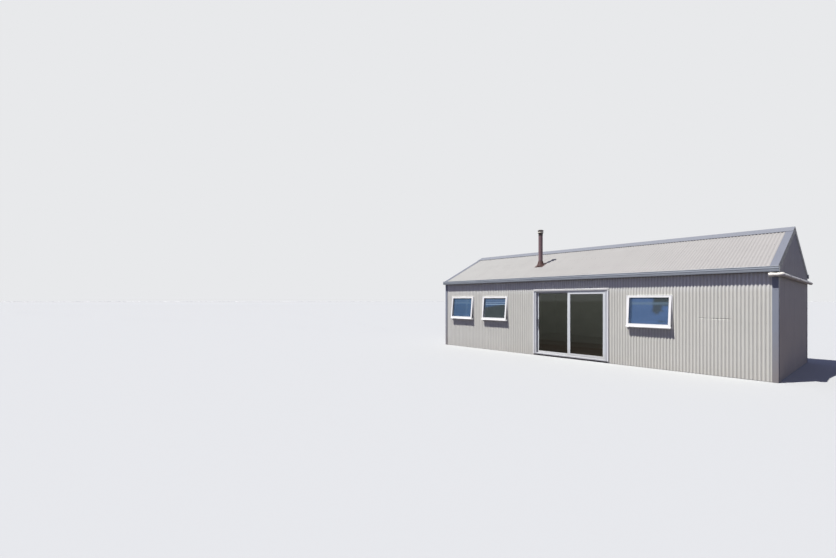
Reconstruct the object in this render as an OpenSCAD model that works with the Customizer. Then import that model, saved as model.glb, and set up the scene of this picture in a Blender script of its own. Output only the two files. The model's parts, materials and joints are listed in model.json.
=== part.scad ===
/* [Cabin] */
// Length over the wall sheets
length = 10710; // [8900:10:14000]
// Depth over the wall sheets
depth = 4720; // [3600:10:6500]
// Height of the roof sheets' ribs above the outer face of the long walls
eave_h = 2685; // [2560:5:3200]
// Roof pitch in degrees
pitch = 25.5; // [15:0.5:35]
// Thickness of the framed and lined walls behind the sheets
wall_t = 100; // [70:5:150]
// Thickness of the insulated and lined roof under the sheets
roof_t = 100; // [70:5:150]
// Height of the floor slab above the ground
slab_h = 50; // [40:5:150]

/* [Corrugated sheet] */
// Distance from rib to rib
rib_pitch = 76.2; // [60:0.1:100]
// Depth of the ribs
rib_depth = 16; // [10:1:25]
// Thickness of the sheet
sheet_t = 2; // [1:0.5:3]
// Flat faces that make one rib
rib_steps = 6; // [4:2:12]
// Ribs that one sheet covers
ribs_per_sheet = 10; // [6:1:14]
// Gap between the wall sheets' lower edge and the ground
clad_base = 8; // [2:1:40]

/* [Flashings] */
// Thickness of the folded flashings
flash_t = 2; // [1:0.5:3]
// Width of each leg of the corner flashings
corner_w = 115; // [60:5:180]
// Width of the barge caps on the roof
barge_w = 150; // [80:5:220]
// Depth of the barge caps on the gable
barge_drop = 142; // [130:2:220]
// Width of each wing of the ridge cap
ridge_w = 330; // [150:10:400]

/* [Gutter] */
// How far the gutters stand out from the wall
gutter_w = 120; // [90:5:160]
// Height of the gutter's front
gutter_h = 132; // [100:2:160]
// How far the gutter's front lip stands above the roof sheets there
gutter_rise = 29; // [5:1:60]
// How far the roof sheets reach over the gutter
sheet_over = 50; // [20:5:80]

/* [Sliding door] */
// Left edge of the door frame, from the cabin's left end
door_place = 4340; // [4260:5:5000]
// Width over the door frame
door_w = 2510; // [2000:10:3000]
// Height of the door frame's top above the ground
door_head = 2175; // [2050:5:2250]
// Width of the jambs, seen from the front
door_face = 80; // [60:1:100]
// Thickness of the door panels
panel_t = 34; // [25:1:45]
// Width of the panels' outer stiles
stile_w = 60; // [40:1:80]
// Width of the stiles where the panels meet
meeting_w = 88; // [50:1:110]
// Height of the fixed panel's top rail
fixed_top_h = 93; // [60:1:110]
// Height of the fixed panel's bottom rail
fixed_bottom_h = 108; // [60:1:150]
// Height of the sliding panel's top rail
slide_top_h = 48; // [40:1:90]
// Height of the sliding panel's bottom rail
slide_bottom_h = 70; // [60:1:110]
// Height of the pull's middle above the floor
pull_h = 1060; // [850:10:1200]

/* [Windows] */
// Middle of the left window, from the cabin's left end
window_a_place = 980; // [800:5:1050]
// Middle of the middle window, from the cabin's left end
window_b_place = 2630; // [2300:5:3100]
// Middle of the right window, from the cabin's left end
window_c_place = 7985; // [7600:5:8100]
// Width over the window frames
win_w = 1180; // [900:10:1400]
// Height over the window frames
win_h = 915; // [600:5:1100]
// Height of the window frames' top above the ground
win_head = 2015; // [1900:5:2200]
// Width of the sashes' stiles
sash_w = 60; // [40:1:75]
// Height of the sashes' top rail
sash_top_h = 44; // [35:1:70]
// Height of the sashes' bottom rail
sash_bottom_h = 90; // [40:1:110]
// How far the sashes stand open, in degrees
sash_open = 6; // [0:0.5:20]

/* [Flue] */
// Outside diameter of the flue pipe
flue_d = 150; // [100:5:200]
// Flue's place along the cabin, from its left end
flue_place = 3955; // [3000:5:6000]
// Flue's place in front of the ridge
flue_y = 1374; // [600:2:1600]
// Height of the flue pipe's top above the ground
flue_top = 4275; // [3900:5:5000]

/* [Rainwater pipe] */
// Outside diameter of the rainwater pipe
rain_d = 88; // [60:1:100]
// Gap between the gutter's floor and the pipe under it
rain_drop = 22; // [12:1:60]
// Distance of the gutter's outlet from the cabin's right end
rain_outlet = 160; // [140:5:400]
// Fall of the pipe along the gable
rain_fall = 80; // [20:5:150]
// Length of the tee under the gutter's outlet
rain_tee_l = 90; // [80:5:120]

/* [Hidden] */

// Gap where one sheet stops beside the next, and gap where a piece seats on another
lap_gap = 0.5;
seat_gap = 0.3;

// Planes of the walls, from the middle of the cabin
half_l = length / 2;
half_d = depth / 2;
skin = rib_depth + sheet_t;
core_l = half_l - skin;
core_d = half_d - skin;
room_l = core_l - wall_t;
room_d = core_d - wall_t;

// Roof planes: down means along the slope, and rise is for each unit across it
rise = tan(pitch);
apex_h = eave_h + half_d * rise;
slope_drop = 1 / cos(pitch);
sheet_under_h = apex_h - (skin + seat_gap) * slope_drop;
wall_top_h = apex_h - (skin + roof_t) * slope_drop - seat_gap;
roof_under_h = apex_h - (skin + roof_t) * slope_drop;
eave_end = (half_d + sheet_over) * slope_drop;
ridge_gap = 30;
clad_top = eave_h - skin * slope_drop - 2;

// Sheets
step = rib_pitch / rib_steps;
sheet_cover = ribs_per_sheet * rib_pitch;
sheets_l = floor(core_l / rib_pitch) * rib_pitch;
sheets_d = floor(core_d / rib_pitch) * rib_pitch;

// Gutter
lip_h = eave_h - gutter_w * rise + gutter_rise;
gutter_floor = lip_h - gutter_h;
gutter_back_h = lip_h - 36;
gutter_end = half_l + 25;
gutter_y = half_d + flash_t;
barge_face = half_l + 2 * flash_t;
barge_top_h = apex_h + seat_gap + flash_t * slope_drop;
ridge_lip = 8;

// Door: the outer track holds the fixed panel, and the inner track the sliding one
run_gap = 6;
door_proud = 10;
door_y = -half_d - door_proud;
door_lip = 12;
track_wall = 8;
outer_y = door_y + door_lip;
inner_y = outer_y + panel_t + track_wall + run_gap;
door_back = inner_y + panel_t + run_gap + track_wall;
door_x = door_place - half_l;
door_right = door_x + door_w;
bay_l = door_x + door_face;
bay_r = door_right - door_face;
sill_floor = slab_h + 22;
sill_lip = slab_h + 45;
rail_top = slab_h + 34;
rail_w = 4;
head_web = door_head - 12;
head_lip = head_web - 18;
jamb_lap = 30;
jamb_step = 5;
jamb_groove = 52;
panel_overlap = meeting_w - 33;
panel_w = (bay_r - bay_l - run_gap + panel_overlap) / 2;
roller_r = 14;
roller_w = 8;
roller_gap = 0.3;
slide_bottom = rail_top + run_gap;
slide_top = head_web - run_gap - 1;
glass_t = 6;
glass_bite = 8;
fixed_stiles = [meeting_w, stile_w];
slide_stiles = [stile_w, meeting_w];
fixed_rails = [fixed_bottom_h, fixed_top_h];
slide_rails = [slide_bottom_h, slide_top_h];

// Windows
window_a_x = window_a_place - half_l;
window_b_x = window_b_place - half_l;
window_c_x = window_c_place - half_l;
frame_lip = 16;
frame_proud = 14;
frame_y = -half_d - frame_proud;
frame_depth = 105;
frame_back = frame_y + frame_depth;
sash_gap = 7;
sash_t = 34;
stop_y = frame_y + sash_t + 2;
stop_w = 34;
sash_outer_w = win_w - 2 * (frame_lip + sash_gap);
sash_outer_h = win_h - 2 * (frame_lip + sash_gap);

// Flue
flue_x = flue_place - half_l;
flue_wall = 3;
flue_roof_h = apex_h - flue_y * rise;
flue_hole = flue_d + 30;
flue_bottom = roof_under_h - (flue_y + flue_d / 2) * rise - 60;
boot_plate = 340;
cowl_d = flue_d + 46;

// Rainwater pipe
rain_wall = 3;
rain_r = rain_d / 2;
rain_h = gutter_floor - rain_drop - rain_r;
rain_start_x = half_l - rain_outlet;
rain_front_y = -gutter_y - gutter_w + rain_r;
outlet_r = rain_r - 12;
rain_side_x = half_l + flash_t + rain_r + 22;
rain_bend = 1.6 * rain_r;
rain_end_y = half_d + 90;
rain_tilt = atan(rain_fall / (rain_end_y - rain_front_y));
rain_fit = 6;
rain_side_run = (rain_end_y - rain_front_y) / cos(rain_tilt) - rain_bend;
clip_w = 24;

// Depth of the wave below the rib's crest, at x
function trough(x) = rib_depth * (1 - cos(360 * x / rib_pitch)) / 2;

// The places between x0 and x1 where the wave changes direction, with both ends
function wave_stops(x0, x1) = concat([x0],
    [for (i = [ceil((x0 + 0.1) / step) : floor((x1 - 0.1) / step)]) i * step], [x1]);

// A length of corrugated sheet from x0 to x1, with its crests at y = 0 and its ribs along z
module wave_sheet(x0, x1, z0, z1) {
    stops = wave_stops(x0, x1);
    last = len(stops) - 1;
    top = [for (x = stops) [x, -trough(x)]];
    under = [for (i = [last : -1 : 0]) [stops[i], -trough(stops[i]) - sheet_t]];
    translate([0, 0, z0]) linear_extrude(z1 - z0) polygon(concat(top, under));
}

// The edges of the sheets that cover the stretch from x0 to x1
function sheet_edges(x0, x1) = concat([x0],
    [for (i = [ceil((x0 + 1) / sheet_cover) : floor((x1 - 1) / sheet_cover)]) i * sheet_cover], [x1]);

// Sheets side by side from x0 to x1
module wave_run(x0, x1, z0, z1) {
    edges = sheet_edges(x0, x1);
    for (i = [0 : len(edges) - 2])
        wave_sheet(edges[i] + lap_gap / 2, edges[i + 1] - lap_gap / 2, z0, z1);
}

// Puts a sheet with its crests on the front wall's outer plane
module on_front() {
    translate([0, -half_d, 0]) mirror([0, 1, 0]) children();
}

module on_rear() {
    mirror([0, 1, 0]) on_front() children();
}

// Puts a sheet with its crests on the right gable's outer plane
module on_right() {
    translate([half_l, 0, 0]) rotate([0, 0, -90]) children();
}

// Puts a sheet on the front slope: x stays, y is off the slope, and z runs down it
module on_slope() {
    translate([0, 0, apex_h]) rotate([90 + pitch, 0, 0]) children();
}

// A profile drawn across the cabin and drawn out along it, from x0 to x1
module along(x0, x1) {
    translate([x0, 0, 0]) rotate([90, 0, 90]) linear_extrude(x1 - x0) children();
}

module box(x0, x1, y0, y1, z0, z1) {
    translate([x0, y0, z0]) cube([x1 - x0, y1 - y0, z1 - z0]);
}

// A closed band that follows the roof, between two heights of its ridge
module roof_band(top, bottom, reach) {
    polygon([[-reach, top - reach * rise], [0, top], [reach, top - reach * rise],
        [reach, bottom - reach * rise], [0, bottom], [-reach, bottom - reach * rise]]);
}

module floor_slab() {
    color("lightgray") box(-core_l, core_l, -core_d, core_d, 0, slab_h);
}

// The front wall's section: upright, with its top cut to the roof's slope
module front_section(z0) {
    polygon([[-core_d, z0], [-room_d, z0], [-room_d, wall_top_h - room_d * rise],
        [-core_d, wall_top_h - core_d * rise]]);
}

module window_hole(x) {
    translate([x - win_w / 2, -half_d - 1, win_head - win_h]) cube([win_w, wall_t + skin + 2, win_h]);
}

module front_wall_left() {
    color("gainsboro") difference() {
        along(-room_l, door_x) front_section(slab_h);
        window_hole(window_a_x);
        window_hole(window_b_x);
    }
}

module front_wall_over_door() {
    color("gainsboro") along(door_x, door_right) front_section(door_head);
}

module front_wall_right() {
    color("gainsboro") difference() {
        along(door_right, room_l) front_section(slab_h);
        window_hole(window_c_x);
    }
}

module rear_wall() {
    color("gainsboro") mirror([0, 1, 0]) along(-room_l, room_l) front_section(slab_h);
}

module gable_wall() {
    along(room_l, core_l) polygon([[-core_d, slab_h], [core_d, slab_h],
        [core_d, wall_top_h - core_d * rise], [0, wall_top_h],
        [-core_d, wall_top_h - core_d * rise]]);
}

module left_gable_wall() {
    color("gainsboro") mirror([1, 0, 0]) gable_wall();
}

module right_gable_wall() {
    color("gainsboro") gable_wall();
}

// Half of the roof's body, from the ridge down to the wall's outer face
module roof_panel() {
    difference() {
        along(-half_l, half_l) polygon([[0, sheet_under_h], [-core_d, sheet_under_h - core_d * rise],
            [-core_d, roof_under_h - core_d * rise], [0, roof_under_h]]);
        children();
    }
}

module flue_opening() {
    translate([flue_x, -flue_y, 0]) cylinder(h = apex_h + 100, d = flue_hole, $fn = 48);
}

module roof_panel_front() {
    color("whitesmoke") roof_panel() flue_opening();
}

module roof_panel_rear() {
    color("whitesmoke") mirror([0, 1, 0]) roof_panel();
}

// Wall sheets above and below a window
module sheets_round_window(x) {
    on_front() {
        wave_run(x - win_w / 2, x + win_w / 2, clad_base, win_head - win_h);
        wave_run(x - win_w / 2, x + win_w / 2, win_head, clad_top);
    }
}

module full_sheets(x0, x1) {
    on_front() wave_run(x0, x1, clad_base, clad_top);
}

module front_sheets_left() {
    color("silver") {
        full_sheets(-sheets_l, window_a_x - win_w / 2);
        sheets_round_window(window_a_x);
        full_sheets(window_a_x + win_w / 2, window_b_x - win_w / 2);
        sheets_round_window(window_b_x);
        full_sheets(window_b_x + win_w / 2, door_x);
    }
}

module front_sheets_over_door() {
    color("silver") on_front() wave_run(door_x, door_right, door_head, clad_top);
}

module front_sheets_right() {
    color("silver") {
        full_sheets(door_right, window_c_x - win_w / 2);
        sheets_round_window(window_c_x);
        full_sheets(window_c_x + win_w / 2, sheets_l);
    }
}

module rear_sheets() {
    color("silver") on_rear() wave_run(-sheets_l, sheets_l, clad_base, clad_top);
}

// Gable sheets, cut to the slope of the roof's underside
module gable_sheets() {
    cut = roof_under_h - 4;
    edges = sheet_edges(-sheets_d, sheets_d);
    for (i = [0 : len(edges) - 2]) intersection() {
        on_right() wave_sheet(edges[i] + lap_gap / 2, edges[i + 1] - lap_gap / 2, clad_base, roof_under_h);
        along(core_l - 1, half_l + 1) polygon([[-half_d, 0], [half_d, 0], [half_d, cut - half_d * rise],
            [0, cut], [-half_d, cut - half_d * rise]]);
    }
}

module left_gable_sheets() {
    color("silver") mirror([1, 0, 0]) gable_sheets();
}

module right_gable_sheets() {
    color("silver") gable_sheets();
}

// Folded angle over the ends of the sheets at a corner
module corner_flashing() {
    edge_x = half_l + flash_t;
    edge_y = half_d + flash_t;
    translate([0, 0, clad_base]) linear_extrude(clad_top - clad_base) polygon([
        [edge_x - corner_w, -edge_y], [edge_x, -edge_y], [edge_x, -edge_y + corner_w],
        [half_l, -edge_y + corner_w], [half_l, -half_d], [edge_x - corner_w, -half_d]]);
}

module corner_flashings() {
    color("darkgray") for (flip_x = [0, 1], flip_y = [0, 1])
        mirror([flip_x, 0, 0]) mirror([0, flip_y, 0]) corner_flashing();
}

// One slope's sheets, with a hole in those that children() crosses between x0 and x1
module roof_sheets(x0 = 0, x1 = 0) {
    edges = sheet_edges(-sheets_l, sheets_l);
    for (i = [0 : len(edges) - 2]) difference() {
        on_slope() wave_sheet(edges[i] + lap_gap / 2, edges[i + 1] - lap_gap / 2, ridge_gap, eave_end);
        if (edges[i] < x1 && edges[i + 1] > x0) children();
    }
}

module roof_sheets_front() {
    color("whitesmoke") roof_sheets(flue_x - flue_hole / 2, flue_x + flue_hole / 2) flue_opening();
}

module roof_sheets_rear() {
    color("whitesmoke") mirror([0, 1, 0]) roof_sheets();
}

// Ridge cap: two flat wings over the barge caps, with a lip turned down along each edge
module ridge_cap() {
    reach = ridge_w / slope_drop;
    lip_foot = barge_top_h + seat_gap;
    under = lip_foot + ridge_lip * slope_drop;
    inner = reach - flash_t;
    top = under + flash_t * slope_drop;
    color("lightsteelblue") along(-barge_face, barge_face) polygon([
        [-reach, lip_foot - reach * rise], [-reach, top - reach * rise], [0, top],
        [reach, top - reach * rise], [reach, lip_foot - reach * rise],
        [inner, lip_foot - inner * rise], [inner, under - inner * rise], [0, under],
        [-inner, under - inner * rise], [-inner, lip_foot - inner * rise]]);
}

// Barge cap: a flat leg on the ribs and a leg down the gable, for both slopes
module barge_cap() {
    inner = half_l + flash_t - barge_w;
    along(inner, barge_face) roof_band(barge_top_h, barge_top_h - flash_t * slope_drop, half_d + sheet_over);
    along(half_l + flash_t, barge_face)
        roof_band(barge_top_h, apex_h - barge_drop * slope_drop, gutter_y);
}

module left_barge_cap() {
    color("lightsteelblue") mirror([1, 0, 0]) barge_cap();
}

module right_barge_cap() {
    color("lightsteelblue") barge_cap();
}

// Gutter section: flat back and floor, a beaded lip, and a front with a groove along it
module gutter_section() {
    t = flash_t;
    front = -gutter_y - gutter_w;
    groove_h = gutter_floor + gutter_h * 0.42;
    groove = 7;
    polygon([[-gutter_y, gutter_back_h], [-gutter_y, gutter_floor], [front + 6, gutter_floor],
        [front, gutter_floor + 8], [front, groove_h - groove], [front + groove, groove_h],
        [front, groove_h + groove], [front, lip_h], [front + 12, lip_h], [front + 12, lip_h - 10],
        [front + 12 - t, lip_h - 10], [front + 12 - t, lip_h - t], [front + t, lip_h - t],
        [front + t, groove_h + groove + 1], [front + groove + t, groove_h],
        [front + t, groove_h - groove - 1], [front + t, gutter_floor + 8 + t],
        [front + 6 + t, gutter_floor + t], [-gutter_y - t, gutter_floor + t],
        [-gutter_y - t, gutter_back_h]]);
}

// Gutter end: the section's outline, closed
module gutter_stop() {
    front = -gutter_y - gutter_w;
    polygon([[-gutter_y, gutter_back_h], [-gutter_y, gutter_floor], [front + 6, gutter_floor],
        [front, gutter_floor + 8], [front, lip_h]]);
}

module gutter() {
    along(-gutter_end, gutter_end) gutter_section();
    along(-gutter_end, -gutter_end + flash_t) gutter_stop();
    along(gutter_end - flash_t, gutter_end) gutter_stop();
}

module front_gutter() {
    color("slategray") gutter();
}

module rear_gutter() {
    color("slategray") mirror([0, 1, 0]) gutter();
}

// Window frame: an outer lip round the sash and a stop behind it
module window_frame(x) {
    z0 = win_head - win_h;
    difference() {
        box(x - win_w / 2, x + win_w / 2, frame_y, frame_back, z0, win_head);
        box(x - win_w / 2 + frame_lip, x + win_w / 2 - frame_lip, frame_y - 1, stop_y,
            z0 + frame_lip, win_head - frame_lip);
        box(x - win_w / 2 + frame_lip + stop_w, x + win_w / 2 - frame_lip - stop_w, frame_y, frame_back + 1,
            z0 + frame_lip + stop_w, win_head - frame_lip - stop_w);
    }
}

// Moves a closed sash, drawn hanging below its hinge line, to its open place
module at_hinge(x, open) {
    translate([x, stop_y - 0.3, win_head - frame_lip - sash_gap]) rotate([-open, 0, 0]) children();
}

module sash_pane(grow) {
    side = sash_outer_w / 2 - sash_w + grow;
    box(-side, side, -sash_t / 2 - glass_t / 2, -sash_t / 2 + glass_t / 2,
        -sash_outer_h + sash_bottom_h - grow, -sash_top_h + grow);
}

module window_sash(x, open) {
    at_hinge(x, open) difference() {
        box(-sash_outer_w / 2, sash_outer_w / 2, -sash_t, 0, -sash_outer_h, 0);
        box(-sash_outer_w / 2 + sash_w, sash_outer_w / 2 - sash_w, -sash_t - 1, 1,
            -sash_outer_h + sash_bottom_h, -sash_top_h);
        sash_pane(glass_bite);
    }
}

module window_glass(x, open) {
    at_hinge(x, open) sash_pane(glass_bite);
}

// Door frame section along its head and its sill, with the two tracks
module door_head_section() {
    polygon([[door_y, door_head], [door_y, head_lip], [outer_y, head_lip], [outer_y, head_web],
        [outer_y + panel_t, head_web], [outer_y + panel_t, head_lip],
        [outer_y + panel_t + track_wall, head_lip], [outer_y + panel_t + track_wall, head_web],
        [door_back - track_wall, head_web], [door_back - track_wall, head_lip], [door_back, head_lip],
        [door_back, door_head]]);
}

module door_sill_section() {
    rail_y = inner_y + panel_t / 2;
    polygon([[door_y, slab_h], [door_y, sill_lip - 6], [door_y + 6, sill_lip], [outer_y, sill_lip],
        [outer_y, sill_floor], [outer_y + panel_t, sill_floor], [outer_y + panel_t, sill_lip],
        [outer_y + panel_t + track_wall, sill_lip], [outer_y + panel_t + track_wall, sill_floor],
        [rail_y - rail_w / 2, sill_floor], [rail_y - rail_w / 2, rail_top],
        [rail_y + rail_w / 2, rail_top], [rail_y + rail_w / 2, sill_floor],
        [door_back - track_wall, sill_floor], [door_back - track_wall, rail_top],
        [door_back, rail_top], [door_back, slab_h]]);
}

// A jamb from its outer edge: a lap set back from the face, and a groove down the face
module jamb() {
    groove = 4;
    translate([0, 0, slab_h]) linear_extrude(door_head - slab_h) polygon([[0, door_back],
        [0, door_y + jamb_step], [jamb_lap, door_y + jamb_step], [jamb_lap, door_y],
        [jamb_groove - groove, door_y], [jamb_groove, door_y + groove], [jamb_groove + groove, door_y],
        [door_face, door_y], [door_face, door_back]]);
}

module door_frame() {
    fin = 18;
    fin_y = outer_y + panel_t;
    color("silver") {
        along(door_x + jamb_lap, door_right - jamb_lap) door_head_section();
        along(door_x + jamb_lap, door_right - jamb_lap) door_sill_section();
        translate([door_x, 0, 0]) jamb();
        translate([door_right, 0, 0]) mirror([1, 0, 0]) jamb();
        box(bay_l, bay_l + fin, fin_y, fin_y + track_wall, sill_floor, head_web);
    }
}

// Head flashing: an upstand on the ribs, a sloping top and a face turned down over the frame's head
module door_head_flashing() {
    out = 20;
    reach = 20;
    foot = door_head + 2;
    face_top = door_head + 46;
    upstand = door_head + 54;
    top = door_head + 70;
    color("gainsboro") along(door_x - reach, door_right + reach) polygon([[-half_d, upstand],
        [-half_d - out, face_top], [-half_d - out, foot], [-half_d - out - flash_t, foot],
        [-half_d - out - flash_t, face_top + flash_t], [-half_d - flash_t, upstand + flash_t],
        [-half_d - flash_t, top], [-half_d, top]]);
}

// A glazed panel's frame: stiles, rails and the groove for its glass
module panel_frame(x0, y0, z0, z1, stiles, rails) {
    difference() {
        box(x0, x0 + panel_w, y0, y0 + panel_t, z0, z1);
        box(x0 + stiles[0], x0 + panel_w - stiles[1], y0 - 1, y0 + panel_t + 1,
            z0 + rails[0], z1 - rails[1]);
        panel_pane(x0, y0, z0, z1, stiles, rails);
    }
}

module panel_pane(x0, y0, z0, z1, stiles, rails) {
    mid = y0 + panel_t / 2;
    box(x0 + stiles[0] - glass_bite, x0 + panel_w - stiles[1] + glass_bite, mid - glass_t / 2,
        mid + glass_t / 2, z0 + rails[0] - glass_bite, z1 - rails[1] + glass_bite);
}

module fixed_panel() {
    color("silver") panel_frame(bay_r - panel_w, outer_y, sill_floor, head_web, fixed_stiles, fixed_rails);
}

module fixed_glass() {
    color("lightblue", 0.35) panel_pane(bay_r - panel_w, outer_y, sill_floor, head_web,
        fixed_stiles, fixed_rails);
}

module sliding_panel() {
    x0 = bay_l + run_gap;
    color("silver") {
        panel_frame(x0, inner_y, slide_bottom, slide_top, slide_stiles, slide_rails);
        for (x = [x0 + 120, x0 + panel_w - 120])
            translate([x, inner_y + panel_t / 2 - roller_w / 2, rail_top + roller_gap + roller_r])
                rotate([-90, 0, 0]) cylinder(h = roller_w, r = roller_r, $fn = 32);
    }
}

module sliding_glass() {
    color("lightblue", 0.35) panel_pane(bay_l + run_gap, inner_y, slide_bottom, slide_top,
        slide_stiles, slide_rails);
}

// Pull on the sliding panel's outer stile: two posts and a grip
module door_pull() {
    x = bay_l + run_gap + stile_w * 0.6;
    mid = slab_h + pull_h;
    grip = 260;
    out = 30;
    post = 14;
    color("dimgray") {
        box(x - post / 2, x + post / 2, inner_y - out, inner_y - out + post, mid - grip / 2, mid + grip / 2);
        for (z = [mid - grip / 2, mid + grip / 2 - post])
            box(x - post / 2, x + post / 2, inner_y - out, inner_y, z, z + post);
    }
}

module flue_tube(d, z0, z1) {
    translate([flue_x, -flue_y, z0]) difference() {
        cylinder(h = z1 - z0, d = d, $fn = 48);
        translate([0, 0, -1]) cylinder(h = z1 - z0 + 2, d = d - 2 * flue_wall, $fn = 48);
    }
}

module flue_pipe() {
    color("saddlebrown") flue_tube(flue_d, flue_bottom, flue_top);
}

// Rain cowl: a collar on the pipe, an open ring and a domed lid on three straps
module flue_cowl() {
    collar_h = 90;
    ring_h = 66;
    color("dimgray") translate([flue_x, -flue_y, flue_top]) {
        rotate_extrude($fn = 48) polygon([[flue_d / 2, -40], [flue_d / 2 + 3, -40],
            [flue_d / 2 + 3, collar_h - 60], [cowl_d / 2, collar_h - 30], [cowl_d / 2, collar_h + 30],
            [cowl_d / 2 - 3, collar_h + 30], [cowl_d / 2 - 3, collar_h - 29],
            [flue_d / 2, collar_h - 59]]);
        rotate_extrude($fn = 48) polygon([[0, collar_h + ring_h + 30], [cowl_d / 2 - 30, collar_h + ring_h + 18],
            [cowl_d / 2 + 12, collar_h + ring_h - 12], [cowl_d / 2 + 12, collar_h + ring_h - 16],
            [cowl_d / 2 - 32, collar_h + ring_h + 14], [0, collar_h + ring_h + 26]]);
        for (a = [30, 150, 270]) rotate([0, 0, a]) translate([cowl_d / 2 - 3, -8, collar_h])
            cube([3, 16, ring_h - 5]);
    }
}

// Boot where the flue meets the roof: a plate on the ribs and a cone round the pipe
module flue_flashing() {
    cone_h = 120;
    color("saddlebrown") difference() {
        union() {
            on_slope() translate([flue_x - boot_plate / 2, 0, flue_y * slope_drop - boot_plate / 2])
                cube([boot_plate, 4, boot_plate]);
            translate([flue_x, -flue_y, flue_roof_h - flue_d / 2 * rise])
                cylinder(h = cone_h + flue_d * rise, d1 = flue_d + 130, d2 = flue_d + 8, $fn = 48);
        }
        translate([flue_x, -flue_y, 0]) cylinder(h = flue_top, d = flue_d, $fn = 48);
        along(flue_x - boot_plate, flue_x + boot_plate) polygon([[0, apex_h], [-half_d, eave_h],
            [-half_d, 0], [0, 0]]);
    }
}

// A straight pipe along z
module rain_tube(h) {
    difference() {
        cylinder(h = h, r = rain_r, $fn = 32);
        translate([0, 0, -1]) cylinder(h = h + 2, r = rain_r - rain_wall, $fn = 32);
    }
}

// Everything past the corner, which falls towards the rear: the bend and the long run
module rain_side() {
    translate([0, rain_bend, 0]) rotate([0, 0, -90]) rotate_extrude(angle = 90, $fn = 48)
        translate([rain_bend, 0]) circle(r = rain_r + rain_fit, $fn = 32);
    translate([rain_bend, rain_bend - 1, 0]) rotate([-90, 0, 0]) rain_tube(rain_side_run);
}

// Outlet tee under the gutter, the run along the front, the bend and the run along the gable
module rainwater_pipe() {
    corner_x = rain_side_x - rain_bend;
    color("white") {
        translate([rain_start_x, rain_front_y, rain_h]) {
            rotate([0, 90, 0]) cylinder(h = rain_tee_l, r = rain_r + rain_fit, $fn = 32);
            translate([rain_tee_l / 2, 0, 0])
                cylinder(h = gutter_floor - seat_gap - rain_h, r = outlet_r, $fn = 32);
            translate([rain_tee_l - 1, 0, 0]) rotate([0, 90, 0])
                rain_tube(corner_x - rain_start_x - rain_tee_l + 2);
        }
        translate([corner_x, rain_front_y, rain_h]) rotate([-rain_tilt, 0, 0]) rain_side();
    }
}

// A band round the pipe on a block that stands on a rib of the gable
module pipe_clip(y) {
    stand = rain_side_x - half_l;
    translate([rain_side_x, y, rain_h - (y - rain_front_y) * tan(rain_tilt)])
        rotate([-90 - rain_tilt, 0, 0]) translate([0, 0, -clip_w / 2]) difference() {
            union() {
                cylinder(h = clip_w, r = rain_r + rain_fit, $fn = 32);
                translate([-stand, -clip_w / 2, 0]) cube([stand, clip_w, clip_w]);
            }
            translate([0, 0, -1]) cylinder(h = clip_w + 2, r = rain_r + seat_gap, $fn = 32);
        }
}

module pipe_clips() {
    color("white") for (i = [-2 : 2 : 2]) pipe_clip(i * ribs_per_sheet * rib_pitch);
}

floor_slab();
front_wall_left();
front_wall_over_door();
front_wall_right();
rear_wall();
left_gable_wall();
right_gable_wall();
roof_panel_front();
roof_panel_rear();
front_sheets_left();
front_sheets_over_door();
front_sheets_right();
rear_sheets();
left_gable_sheets();
right_gable_sheets();
corner_flashings();
roof_sheets_front();
roof_sheets_rear();
ridge_cap();
left_barge_cap();
right_barge_cap();
front_gutter();
rear_gutter();
color("white") window_frame(window_a_x);  // window_frame_a
color("white") window_frame(window_b_x);  // window_frame_b
color("white") window_frame(window_c_x);  // window_frame_c
color("white") window_sash(window_a_x, sash_open);  // window_sash_a
color("white") window_sash(window_b_x, sash_open);  // window_sash_b
color("white") window_sash(window_c_x, sash_open);  // window_sash_c
color("lightblue") window_glass(window_a_x, sash_open);  // window_glass_a
color("lightblue") window_glass(window_b_x, sash_open);  // window_glass_b
color("lightblue") window_glass(window_c_x, sash_open);  // window_glass_c
door_frame();
door_head_flashing();
fixed_panel();
fixed_glass();
sliding_panel();
sliding_glass();
door_pull();
flue_pipe();
flue_cowl();
flue_flashing();
rainwater_pipe();
pipe_clips();
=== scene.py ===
import json
import math

import bmesh
import bpy
from mathutils import Matrix, Vector

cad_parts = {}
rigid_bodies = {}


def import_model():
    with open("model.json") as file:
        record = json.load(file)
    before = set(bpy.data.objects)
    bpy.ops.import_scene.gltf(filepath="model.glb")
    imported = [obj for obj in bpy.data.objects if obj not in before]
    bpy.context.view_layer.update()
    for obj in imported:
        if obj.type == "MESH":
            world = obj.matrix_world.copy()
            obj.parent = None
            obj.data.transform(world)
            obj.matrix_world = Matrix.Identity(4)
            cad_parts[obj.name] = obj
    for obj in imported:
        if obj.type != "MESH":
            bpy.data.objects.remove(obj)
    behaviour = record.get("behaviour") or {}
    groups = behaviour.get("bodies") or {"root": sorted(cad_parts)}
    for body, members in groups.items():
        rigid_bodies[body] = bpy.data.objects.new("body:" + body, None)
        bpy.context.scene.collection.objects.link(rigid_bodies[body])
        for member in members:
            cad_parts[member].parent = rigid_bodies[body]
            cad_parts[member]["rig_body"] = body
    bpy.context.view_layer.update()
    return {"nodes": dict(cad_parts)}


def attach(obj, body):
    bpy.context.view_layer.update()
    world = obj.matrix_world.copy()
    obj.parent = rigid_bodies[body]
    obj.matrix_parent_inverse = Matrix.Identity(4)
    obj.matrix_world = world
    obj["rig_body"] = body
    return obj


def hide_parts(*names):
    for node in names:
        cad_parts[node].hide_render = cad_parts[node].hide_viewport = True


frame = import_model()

NODES = frame["nodes"]
CABIN = "cabin"
DOOR = "sliding_door"

# Main sizes, in metres, as the part's source gives them

# The walls' crest planes, the height where the roof's crest plane meets them, and its slope
HALF_L = 5.355
HALF_D = 2.36
EAVE_H = 2.685
PITCH = math.radians(25.5)
RISE = math.tan(PITCH)
SLOPE = 1 / math.cos(PITCH)
APEX_H = EAVE_H + HALF_D * RISE
EAVE_OUT = 0.05

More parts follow.
